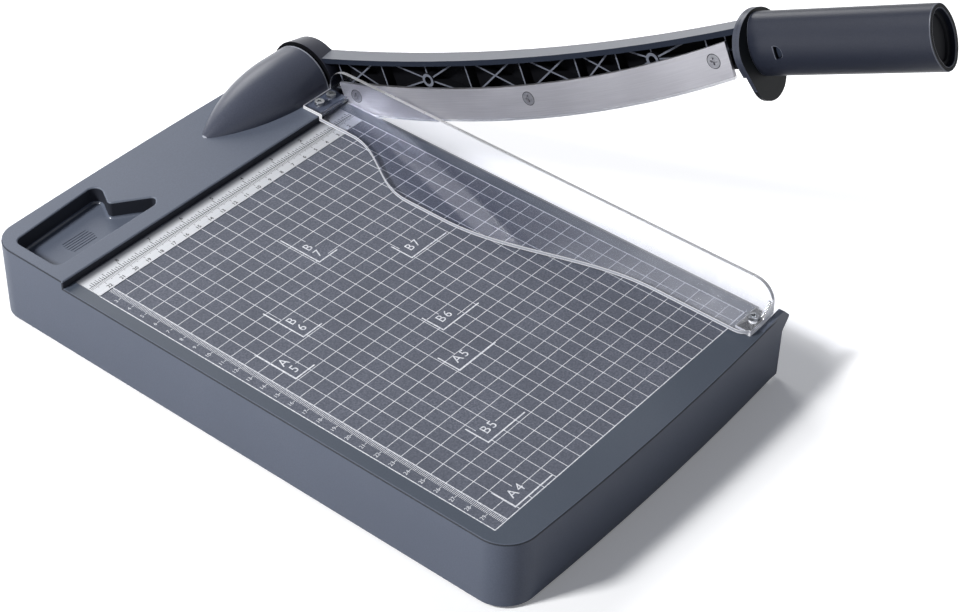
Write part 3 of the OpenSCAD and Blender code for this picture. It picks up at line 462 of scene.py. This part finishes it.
lines = []
for x in range(RIGHT + SQUARE, LEFT, SQUARE):
    lines += [ruled(x, a, x, b, LINE, bed_z) for a, b in spans(x, BACK, FRONT, "x")]
for y in range(BACK + SQUARE, FRONT, SQUARE):
    lines += [ruled(a, y, b, y, LINE, bed_z, 1) for a, b in spans(y, RIGHT, LEFT, "y")]
lines += [ruled(x, BACK, x, FRONT, FRAME_LINE, bed_z, 2) for x in (RIGHT, LEFT, OUTER)]
lines.append(ruled(RIGHT, FRONT, OUTER, FRONT, FRAME_LINE, bed_z, 3))
for w, h, wide, tall in marks:
    lines.append(ruled(w + BRACKET_OFF, h + BRACKET_END, w + BRACKET_OFF, h - tall, BRACKET, bed_z, 4))
    lines.append(ruled(w + BRACKET_END, h + BRACKET_OFF, w - wide, h + BRACKET_OFF, BRACKET, bed_z, 5))
for y in range(BACK + 1, FRONT):
    reach = LEFT + (CM_REACH if y % SQUARE == 0 else MM_REACH)
    lines.append(ruled(LEFT, y, reach, y, TICK, bed_z, 6))
set_down(bars_on_points("bed_lines", lines, INK, white_ink), "bed_lines", "base", [])


def lettered(name, words, z, bold=0.0):
    """Words in the built-in face as flat ink; each is a text, its middle in millimetres, its size and its
    spacing."""
    holders = []
    for text, x, y, size, spacing in words:
        face = bpy.data.curves.new(name, "FONT")
        face.body, face.size, face.space_character = text, size, spacing
        face.align_x, face.align_y = "CENTER", "CENTER"
        face.extrude, face.resolution_u, face.offset = INK / 2, 3, bold * size
        holders.append((placed(name, face), bed(x, y)))
    shown = bpy.context.evaluated_depsgraph_get()
    skin = bmesh.new()
    for holder, (x, y) in holders:
        mesh = bpy.data.meshes.new_from_object(holder.evaluated_get(shown))
        mesh.transform(Matrix.Translation((x, y, z)))
        skin.from_mesh(mesh)
        bpy.data.meshes.remove(mesh)
    for holder, _ in holders:
        bpy.data.objects.remove(holder)
    mesh = bpy.data.meshes.new(name)
    skin.to_mesh(mesh)
    skin.free()
    return mesh


letters += [(str(n), LEFT + FIGURE_OUT, SQUARE * n, FIGURE, 1.0) for n in range(3, 30)]
set_down(lettered("bed_figures", letters, bed_z + 8 * LAYER),
         "bed_figures", "base", [white_ink])

# Ruler: a strip of lacquered aluminium laid in a shallow seat against the fence, printed in black
# with inches on its upper half and centimetres on its lower half.
INCH, SPINE, ENDS = 25.4, 11.2, (10.5, 229.5)
INCH_TICK, MM_TICK, TICK_GAP = 0.00042, 0.00028, 0.5
INCH_FIGURE, INCH_RIGHT, INCH_ROW = 0.0036, 1.4, 4.4
CM_FIGURE, CM_ROW, BOLD = 0.0035, 17.7, 0.02
# Heights of the ticks in millimetres, each by the steps from one such tick to the next.
INCH_STEPS, INCH_TALL = 16, {16: 5.2, 8: 4.2, 2: 3.2, 1: 2.4}
MM_TALL = {10: 3.4, 5: 2.6, 1: 1.9}
ruler_top = ruler_hi.z

# Aluminium strip under a satin white lacquer: faint lengthwise rolling lines, 0.8 mm apart, show through.
# Painted shade darkens it from 8 mm to 1 mm off the fence, for the fence's shadow and dark reflection.
lacquer, tree, shader, at = blank("lacquered_aluminium")
drawn = add(tree, "ShaderNodeMapping", {"Vector": at, "Scale": (12, 1000 / 0.8, 1)})
rolled = add(tree, "ShaderNodeTexNoise", {"Vector": drawn, "Scale": 1.0, "Detail": 3.0})
place = add(tree, "ShaderNodeSeparateXYZ", {"Vector": at}).outputs
fence_shade = add(tree, "ShaderNodeMapRange", {"Value": place["Y"], "From Min": fence_y - 0.008,
           "From Max": fence_y - 0.001}, interpolation_type="SMOOTHSTEP")
rolled_tone = add(tree, "ShaderNodeMix", {"Factor": rolled, "A": srgb("#b4b7bc"), "B": srgb("#d3d5d9")},
            data_type="RGBA")
tone = add(tree, "ShaderNodeMix", {"Factor": fence_shade, "A": rolled_tone, "B": srgb("#5b5d64")}, data_type="RGBA")
shine = add(tree, "ShaderNodeMapRange", {"Value": rolled, "To Min": 0.3, "To Max": 0.44})
feed(tree, shader, {"Base Color": tone, "Roughness": shine, "Metallic": 0.25})

# Black screen ink, slightly greyed where it is thin.
black_ink, tree, shader, at = blank("screen_ink_black")
grain = add(tree, "ShaderNodeTexNoise", {"Vector": at, "Scale": 1000 / 1.2, "Detail": 2.0})
tone = add(tree, "ShaderNodeMix", {"Factor": grain, "A": srgb("#0e0f12"), "B": srgb("#33353a")},
           data_type="RGBA")
feed(tree, shader, {"Base Color": tone, "Roughness": 0.55})


def clad(node, finish):
    """Give a CAD node its finish."""
    frame["nodes"][node].material_slots[0].material = finish


clad("scale_ruler", lacquer)
scale = [ruled(ENDS[0], SPINE, ENDS[1], SPINE, INCH_TICK, ruler_top, 1)]
for step in range(1, 9 * INCH_STEPS):
    x = INCH / INCH_STEPS * step
    if ENDS[0] < x < ENDS[1]:
        tall = next(high for every, high in INCH_TALL.items() if step % every == 0)
        scale.append(ruled(x, SPINE, x, SPINE - tall, INCH_TICK, ruler_top))
for x in range(11, 230):
    tall = next(high for every, high in MM_TALL.items() if x % every == 0)
    scale.append(ruled(x, SPINE + TICK_GAP, x, SPINE + TICK_GAP + tall, MM_TICK, ruler_top))
set_down(bars_on_points("ruler_lines", scale, INK, black_ink), "ruler_lines", "base", [])
figures = [(str(n), INCH * n - INCH_RIGHT, INCH_ROW, INCH_FIGURE, 1.0) for n in range(1, 9)]
figures += [(str(n), 10 * n, CM_ROW, CM_FIGURE, 1.0) for n in range(2, 23)]
set_down(lettered("ruler_figures", figures, ruler_top + 2 * LAYER, BOLD),
         "ruler_figures", "base", [black_ink])

# Underside: a dark ABS cover screwed up into the shell, on four pressed-in rubber feet.
# The screws are zinc-plated steel with cross recesses.
# Plain dark ABS: dull, with the coarse grain of an unpolished tool.
cover_abs = moulded("abs_dark_plain", "#43464c", "#33363b", 1.0, 0.03, 0.6)
clad("bottom_cover", cover_abs)

# Moulded black rubber: dull, with a fine bloom and a 0.6 mm matt texture.
rubber = moulded("rubber_black", "#26272a", "#191a1c", 0.6, 0.04, 0.82)
clad("rubber_feet", rubber)


def plated(name, light, dark, rough, turn=(900, 900, 900)):
    """Steel or brass with a metal sheen: blotches of about 1 mm as plated, or lines where turn stretches
    them."""
    finish, tree, shader, at = blank(name)
    drawn = add(tree, "ShaderNodeMapping", {"Vector": at, "Scale": turn})
    mark = add(tree, "ShaderNodeTexNoise", {"Vector": drawn, "Scale": 1.0, "Detail": 3.0})
    tone = add(tree, "ShaderNodeMix", {"Factor": mark, "A": srgb(dark), "B": srgb(light)}, data_type="RGBA")
    shine = add(tree, "ShaderNodeMapRange", {"Value": mark, "To Min": rough - 0.08, "To Max": rough + 0.1})
    feed(tree, shader, {"Base Color": tone, "Roughness": shine, "Metallic": 1.0})
    return finish


# Zinc plating: pale bluish grey, slightly blotchy, half dull.
zinc = plated("zinc_plated_steel", "#c3c6ca", "#9a9da2", 0.36)
for node in ("bottom_screws", "counter_blade_screws", "backing_plate", "backing_plate_screws", "pivot_bolt",
             "pivot_washer", "disc_spring", "pivot_nut", "pivot_cover_screws", "guard_screws", "grip_screw"):
    clad(node, zinc)

# Counter blade: a bar of steel screwed flush to the right wall, level with the bed.
# Ground steel: grey and half dull, with grinding lines along the bar.
ground_steel = plated("ground_steel_bar", "#b4b4b8", "#8e8e93", 0.34, (700, 14, 900))
clad("counter_blade", ground_steel)

# Pivot cover: a pointed ABS shell over the bolt's inner end, screwed on from below the deck.
# It is darker than the base and polished to a soft shine.
COVER_ROUND, TIP_LONG, HIGHLIGHT_WIDE = 0.0004, 0.001, 0.0009
graphite_abs = moulded("abs_graphite_satin", "#4e5260", "#424653", 0.8, 0.012, 0.36)
# Its edges, and those of the arm and the handle, are pale with painted highlight.
edge_highlight_abs = moulded("abs_graphite_painted_highlight", "#7b7f8a", "#5d616b", 0.8, 0.014, 0.38)
# The end by the hub is palest with painted highlight, in a line under a millimetre wide, and so is the last
# millimetre of the tip, a painted glint.
end_highlight_abs = moulded("abs_graphite_painted_glint", "#b9bdc6", "#8f949f", 0.8, 0.014, 0.34)
_, EDGE_HIGHLIGHT, END_HIGHLIGHT = range(3)


def eased(skin, offset, chosen=None, finish=0):
    """A skin with its sharp outer edges, or the chosen ones, rounded by offset in a numbered finish."""
    flattened(skin)
    sharp = [e for e in skin.edges if e.is_manifold and e.calc_face_angle_signed() > math.radians(60)
             and (chosen is None or chosen(e))]
    for face in rounded(skin, sharp, offset, 2, True):
        face.material_index = finish
    return skin


# Its rounds get the pale edge finish, a painted highlight; the tip and the end by the hub get the palest one.
skin = eased(welded("pivot_cover"), COVER_ROUND, finish=EDGE_HIGHLIGHT)
tip_to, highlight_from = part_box("pivot_cover")[0].x + TIP_LONG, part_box("pivot_cover")[1].x - HIGHLIGHT_WIDE
for across in (tip_to, highlight_from):
    cut_across(skin, [*skin.verts, *skin.edges, *skin.faces], (across, 0, 0), (1, 0, 0))
for face in skin.faces:
    if not tip_to < face.calc_center_median().x < highlight_from:
        face.material_index = END_HIGHLIGHT
stand_for(skin, "pivot_cover", "pivot_shell", "base",
          [graphite_abs, edge_highlight_abs, end_highlight_abs], 30)

# Safety guard: clear acrylic, moulded in one piece with a wavy flange over the bed and an upright wall
# along the cut. It is screwed to the deck behind and to a pad on the bed in front.
SHEET_MIDDLE, SHEET_CORE, SHEET_FACE = bed_z + 0.003, 0.0004, 0.0009
WALL_THICK, STEP_DEEP, FEET_HIGH = 0.0026, 0.006, 0.003
guard_lo, guard_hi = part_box("safety_guard")
wall_x = guard_hi.x - WALL_THICK
_, MATT_EDGE, MATT_RIM = range(3)

# Polished acrylic: clear, a little cool, with bright edges; lamps shine through it.
# Paper has scuffed its front half pale.
acrylic, tree, shader, at = blank("acrylic_clear")
haze = add(tree, "ShaderNodeTexNoise", {"Vector": at, "Scale": 1000 / 22, "Detail": 3.0})
place = add(tree, "ShaderNodeSeparateXYZ", {"Vector": at}).outputs
used = add(tree, "ShaderNodeMapRange", {"Value": place["Y"], "From Min": guard_lo.y + 0.19,
           "From Max": guard_lo.y + 0.02}, interpolation_type="SMOOTHSTEP")
scuffs = add(tree, "ShaderNodeMath", {0: used, 1: haze}, operation="MULTIPLY")
shine = add(tree, "ShaderNodeMapRange", {"Value": haze, "To Min": 0.015, "To Max": 0.06})
clear = add(tree, "ShaderNodeMapRange", {"Value": scuffs, "To Min": 1.0, "To Max": 0.7})
feed(tree, shader, {"Base Color": srgb("#f6f7fb"), "IOR": 1.49, "Specular Tint": (0.08, 0.08, 0.08, 1),
     "Roughness": shine, "Transmission Weight": clear})
path = add(tree, "ShaderNodeLightPath").outputs
through = add(tree, "ShaderNodeBsdfTransparent", {"Color": srgb("#f2f3f7")})
shown = shader
for ray in ("Is Shadow Ray", "Is Diffuse Ray"):
    shown = add(tree, "ShaderNodeMixShader", {0: path[ray], 1: shown, 2: through})
feed(tree, tree.nodes["Material Output"], {"Surface": shown})


# The wavy edge, the front block and the wall's rim, as they leave the tool: fine matt acrylic.
def frosted(name, glow, clear):
    """Matt edge of a clear sheet: pale, with painted highlights along the sheet's two faces, and a painted
    glow for the light that it gathers."""
    finish, tree, shader, at = blank(name)
    place = add(tree, "ShaderNodeSeparateXYZ", {"Vector": at}).outputs
    off = add(tree, "ShaderNodeMath", {0: place["Z"], 1: SHEET_MIDDLE}, operation="SUBTRACT")
    depth = add(tree, "ShaderNodeMath", {0: off}, operation="ABSOLUTE")
    # Painted highlights: the edge is palest near the sheet's two faces.
    rims = add(tree, "ShaderNodeMapRange", {"Value": depth, "From Min": SHEET_CORE, "From Max": SHEET_FACE})
    tone = add(tree, "ShaderNodeMix", {"Factor": rims, "A": srgb("#b4b7c2"), "B": srgb("#fcfcfd")},
               data_type="RGBA")
    grain = add(tree, "ShaderNodeTexNoise", {"Vector": at, "Scale": 1000 / 1.5, "Detail": 2.0})
    shine = add(tree, "ShaderNodeMapRange", {"Value": grain, "To Min": 0.2, "To Max": 0.42})
    feed(tree, shader, {"Base Color": tone, "IOR": 1.49, "Roughness": shine, "Transmission Weight": clear,
         "Emission Color": srgb("#f4f5fb"), "Emission Strength": glow})
    return finish


skin = flattened(welded("safety_guard"))
for face in skin.faces:
    at = face.calc_center_median()
    riser = abs(face.normal.y) > 0.9 and abs(at.y - fence_y) < STEP_DEEP
    foot = at.z < bed_z + 1e-5
    flange = abs(face.normal.z) < 0.3 and at.x < wall_x and at.z < deck_z + FEET_HIGH and not riser
    if foot or flange:
        face.material_index = MATT_EDGE
    elif abs(face.normal.x) < 0.3 and at.x > wall_x and at.z > deck_z:
        face.material_index = MATT_RIM
bmesh.ops.triangulate(skin, faces=[f for f in skin.faces if len(f.verts) > 4])
stand_for(skin, "safety_guard", "clear_guard", "base",
          [acrylic, frosted("acrylic_matt_edge", 0.14, 0.25), frosted("acrylic_matt_rim", 0.0, 0.6)], 24)

# Arm: a ribbed ABS channel with its hub round a brass bush, a neck and a spigot for the grip.
# Satin graphite ABS outside, dull and nearly black with painted shade in the deep pockets, and pale with
# painted highlight on the narrow edges of the ribs.
RIB_PLANE, RIB_SUNK, RIB_PROUD = cut_x + 0.004, 0.0012, 0.0002
WEB_PLANE, POCKET_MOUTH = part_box("arm_beam")[1].x - 0.0024, cut_x + 0.0019
HUB_RADIUS, HUB_FLARE, HUB_ROUND, HUB_SLACK = 0.0228, 0.0026, 0.0006, 0.0008
hinge = Vector(frame["record"]["behaviour"]["joints"][0]["pos_m"])
arm_abs = moulded("abs_graphite_arm", "#2e3441", "#262b36", 0.8, 0.014, 0.5, 0.06)
# The hub's rim, smooth: shinier, and a little lighter with painted highlight.
hub_abs = moulded("abs_graphite_hub", "#40424e", "#363843", 0.8, 0.014, 0.4, 0.32)
# The arm's top, polished by sleeves and hands, and lighter with painted light from above.
lit_top_abs = moulded("abs_graphite_painted_light", "#525763", "#474c57", 0.8, 0.008, 0.36, 0.5)
# Pockets between the ribs and the hub's inner face: nearly black with painted shade, and without shine.
pocket_shade_abs = moulded("abs_graphite_painted_shade", "#0b0c11", "#06070b", 0.8, 0.02, 0.85, 0.1)
PLAIN, SHADED_POCKET, RIB, HUB, LIT_TOP = range(5)


def from_hinge(v):
    return math.hypot(v.co.y - hinge.y, v.co.z - hinge.z)


def on_hub(edge):
    rims = (HUB_RADIUS, HUB_RADIUS + HUB_FLARE)
    return any(all(abs(from_hinge(v) - rim) < TENTH for v in edge.verts) for rim in rims)


skin = eased(welded("arm_beam"), HUB_ROUND, on_hub)
# Rib faces get the pale edge finish, a painted highlight; the pockets and the hub's inner face painted shade;
# the hub's rim and the top are lighter, painted light.
for face in skin.faces:
    at = face.calc_center_median()
    near, far = span_of(face, 0)
    if face.normal.x < -0.9 and RIB_PLANE - RIB_SUNK < at.x < RIB_PLANE + RIB_PROUD:
        face.material_index = RIB
    elif near > POCKET_MOUTH and far < WEB_PLANE + TENTH and face.normal.x < 0.3:
        face.material_index = SHADED_POCKET
    reach = [from_hinge(v) for v in face.verts]
    on_rim = max(reach) < HUB_RADIUS + HUB_FLARE + TENTH
    outward = face.normal.dot(at - hinge) > 0.6 * HUB_RADIUS
    if on_rim and face.normal.x < -0.9 and max(reach) > HUB_RADIUS + MM:
        face.material_index = SHADED_POCKET
    elif on_rim and min(reach) > HUB_RADIUS - HUB_SLACK and outward:
        face.material_index = HUB
    elif face.material_index == PLAIN and face.normal.z > 0.7:
        face.material_index = LIT_TOP
stand_for(skin, "arm_beam", "ribbed_arm", "arm",
          [arm_abs, pocket_shade_abs, edge_highlight_abs, hub_abs, lit_top_abs], 28, 100)
# Turned brass: warm, bright and a little blotchy with oil.
brass = plated("brass_turned", "#c9a765", "#a98748", 0.3)
clad("pivot_bush", brass)

# Blade: a curved strip of tool steel, ground lengthwise and screwed flush to the arm, with a narrow
# cutting bevel along its lower edge.
EDGE_CENTRE = (0.0, 0.429826, 0.862547)
EDGE_RADIUS = 0.86537
BEVEL_WIDE, BEVEL_BLUR = 0.0014, 0.0002

# Ground tool steel: grinding lines along the curve, 0.3 mm apart and drawn at 0.7 mm to show, and a
# brighter, smoother bevel at the edge. The hand-held grinding leaves paler and darker stretches of 60 mm.
blade_steel, tree, shader, at = blank("ground_tool_steel")
place = add(tree, "ShaderNodeVectorMath", {0: at, 1: EDGE_CENTRE}, operation="SUBTRACT")
spoke = add(tree, "ShaderNodeVectorMath", {0: place, 1: (0, 1, 1)}, operation="MULTIPLY")
radius = add(tree, "ShaderNodeVectorMath", {0: spoke}, operation="LENGTH")
axes = add(tree, "ShaderNodeSeparateXYZ", {"Vector": spoke}).outputs
turn = add(tree, "ShaderNodeMath", {0: axes["Z"], 1: axes["Y"]}, operation="ARCTAN2")
track = add(tree, "ShaderNodeCombineXYZ", {"X": radius, "Y": turn})
drawn = add(tree, "ShaderNodeMapping", {"Vector": track, "Scale": (1000 / 0.7, EDGE_RADIUS * 1000 / 40, 1)})
ground = add(tree, "ShaderNodeTexNoise", {"Vector": drawn, "Scale": 1.0, "Detail": 4.0, "Roughness": 0.65})
stretch = add(tree, "ShaderNodeTexNoise", {"Vector": at, "Scale": 1000 / 60, "Detail": 2.0})
uneven = add(tree, "ShaderNodeMath", {0: stretch, 1: 1.2, 2: -0.6}, operation="MULTIPLY_ADD")
shade = add(tree, "ShaderNodeMath", {0: ground, 1: uneven}, operation="ADD")
satin = add(tree, "ShaderNodeMix", {"Factor": shade, "A": srgb("#aeadb3"), "B": srgb("#d4d3d8")},
            data_type="RGBA")
bevel_from = EDGE_RADIUS - BEVEL_WIDE
honed = add(tree, "ShaderNodeMapRange", {"Value": radius, "From Min": bevel_from - BEVEL_BLUR,
            "From Max": bevel_from})
dull = add(tree, "ShaderNodeMapRange", {"Value": ground, "To Min": 0.42, "To Max": 0.56})
shine = add(tree, "ShaderNodeMix", {"Factor": honed, "A": dull, "B": 0.34})
tone = add(tree, "ShaderNodeMix", {"Factor": honed, "A": satin, "B": srgb("#f6f6f8")}, data_type="RGBA")
feed(tree, shader, {"Base Color": tone, "Roughness": shine, "Metallic": 1.0})
# Countersinks: dark round the screw heads with painted shade.
shaded_countersink_steel = plated("shaded_countersink_steel", "#4a4a4f", "#2c2c30", 0.5)
skin = welded("blade")
for face in skin.faces:
    face.material_index = 1 if 0.2 < abs(face.normal.x) < 0.95 else 0
stand_for(skin, "blade", "curved_blade", "arm", [blade_steel, shaded_countersink_steel], 30)

# Blade screws: countersunk cross-heads that hold the blade to the arm.
# Bright steel, a little duller than the blade.
clad("blade_screws", plated("bright_screw_steel", "#b9b9be", "#8d8d93", 0.42))

# Hand guard: an egg-shaped ABS plate between the neck and the grip that keeps fingers off the blade.
# A ring of the arm's colour stands behind its round top, above the bed when the blade is down.
RAISED = math.radians(25)
RING_BACK, PLATE_ROUND = 0.0019, 0.0004
along = Vector((0, -math.cos(RAISED), math.sin(RAISED)))
upward = Vector((0, math.sin(RAISED), math.cos(RAISED)))
# Black satin ABS on the plate, and graphite on the ring and on the plate's upper rim.
black_abs = moulded("abs_black_satin", "#14181c", "#0e1114", 0.7, 0.015, 0.5, 0.2)
ring_abs = moulded("abs_graphite_ring", "#434856", "#363a46", 0.8, 0.014, 0.36)
FACE, UPPER_RIM, HIGHLIGHT_RIM = range(3)


def above(place):
    """Whether a place is in the upper half of the plate."""
    return (place - hinge).dot(upward) > -MM


skin = welded("hand_guard")
for face in skin.faces:
    upper = abs(face.normal.dot(along)) < 0.5 and above(face.calc_center_median())
    face.material_index = UPPER_RIM if upper else FACE
# The upper edges are rounded in the pale edge finish, a painted highlight.
stand_for(eased(skin, PLATE_ROUND, lambda e: above(middle(e)), HIGHLIGHT_RIM), "hand_guard", "finger_plate",
          "arm", [black_abs, ring_abs, edge_highlight_abs], 40, 100)
skin = welded("hand_guard")
bmesh.ops.translate(skin, verts=skin.verts, vec=along * -RING_BACK)
bmesh.ops.bisect_plane(skin, geom=[*skin.verts, *skin.edges, *skin.faces], plane_co=hinge - upward * MM,
                       plane_no=upward, clear_inner=True)
bmesh.ops.holes_fill(skin, edges=[e for e in skin.edges if e.is_boundary])
set_down(as_mesh(eased(skin, PLATE_ROUND), "finger_ring"), "finger_ring", "arm",
         [ring_abs], 40, 100)

# Grip: an oval ABS tube pushed over the arm's spigot, with a snap window on its left side.
# A black cap is sunk in its open end.
GRIP_ROUND, SHORT_EDGE = 0.0005, 0.0004
PLUG_RING, PLUG_SLOPE, PLUG_DEEP = 0.0024, 0.0003, 0.0012
# Satin graphite ABS, as on the arm: dark, with a soft shine along the tube.
grip_abs = moulded("abs_graphite_grip", "#2b2f3c", "#222632", 0.8, 0.012, 0.38, 0.25)
# Black matt ABS of the cap, and of the tube's end face, which is darker than the tube.
plug_abs = moulded("abs_black_matt", "#13161d", "#0c0e13", 0.7, 0.02, 0.6, 0.2)
_, GRIP_EDGE, GRIP_END = range(3)
# Its rounded edges get the pale edge finish, a painted highlight.
skin = eased(welded("grip"), GRIP_ROUND, lambda e: e.calc_length() > SHORT_EDGE, GRIP_EDGE)
for face in skin.faces:
    if face.normal.dot(along) > 0.95:
        face.material_index = GRIP_END
stand_for(skin, "grip", "oval_grip", "arm", [grip_abs, edge_highlight_abs, plug_abs], 28, 100)
skin = flattened(welded("grip_end_cap"))
ends = sorted(skin.faces, key=lambda face: face.calc_area())[-2:]
outer = min(ends, key=lambda face: face.calc_center_median().y)
bmesh.ops.inset_region(skin, faces=[outer], thickness=PLUG_RING, depth=0.0)
bmesh.ops.inset_region(skin, faces=[outer], thickness=PLUG_SLOPE, depth=-PLUG_DEEP)
stand_for(skin, "grip_end_cap", "end_plug", "arm", [plug_abs], 40)
